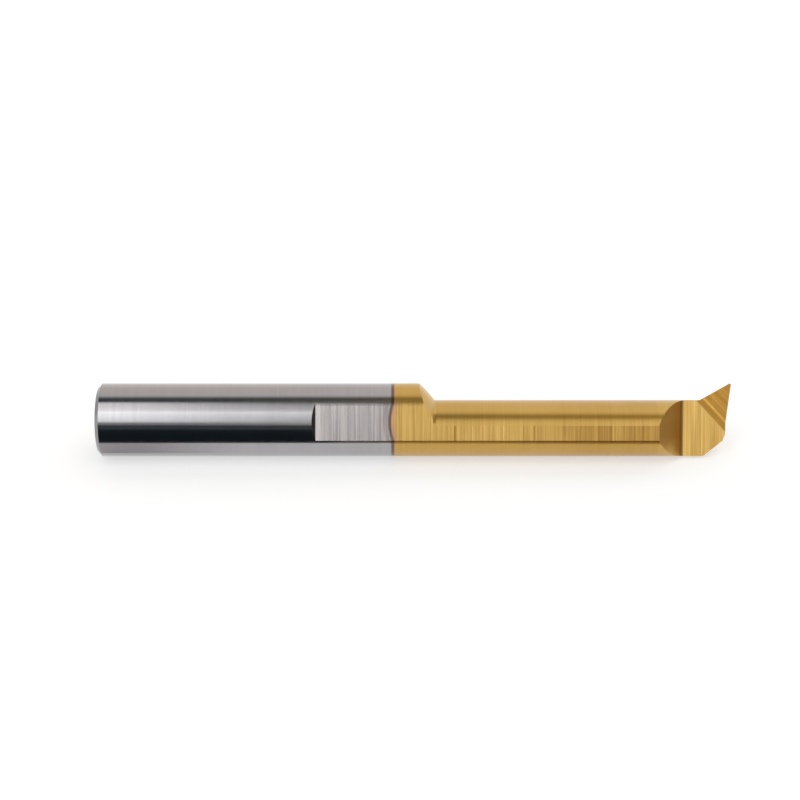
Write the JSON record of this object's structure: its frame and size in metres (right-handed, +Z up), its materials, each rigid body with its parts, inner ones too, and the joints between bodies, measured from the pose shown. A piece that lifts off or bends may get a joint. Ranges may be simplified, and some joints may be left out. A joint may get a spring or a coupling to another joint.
{
  "type": "boring bar",
  "caption": "solid carbide mini boring bar with a round shank and clamping flat, an offset relieved neck, a chip gullet and a hooked profiling tip, the front half coated gold",
  "frame": {"origin": "on the surface the bar lies on, below the shank's axis, halfway along the bar", "axes": "+X along the bar from the tail to the cutting tip, +Z up, -Y the side that the ground face looks to; the face is rolled up 24.1 degrees, as the bar comes to rest"},
  "size_m": [0.052, 0.006, 0.006],
  "materials": {
    "coated_carbide": "fine-ground carbide, bare grey on the rear of the shank and gold vapour-coated on the front"
  },
  "bodies": {
    "root": {"boring_bar": "coated_carbide"}
  },
  "joints": []
}
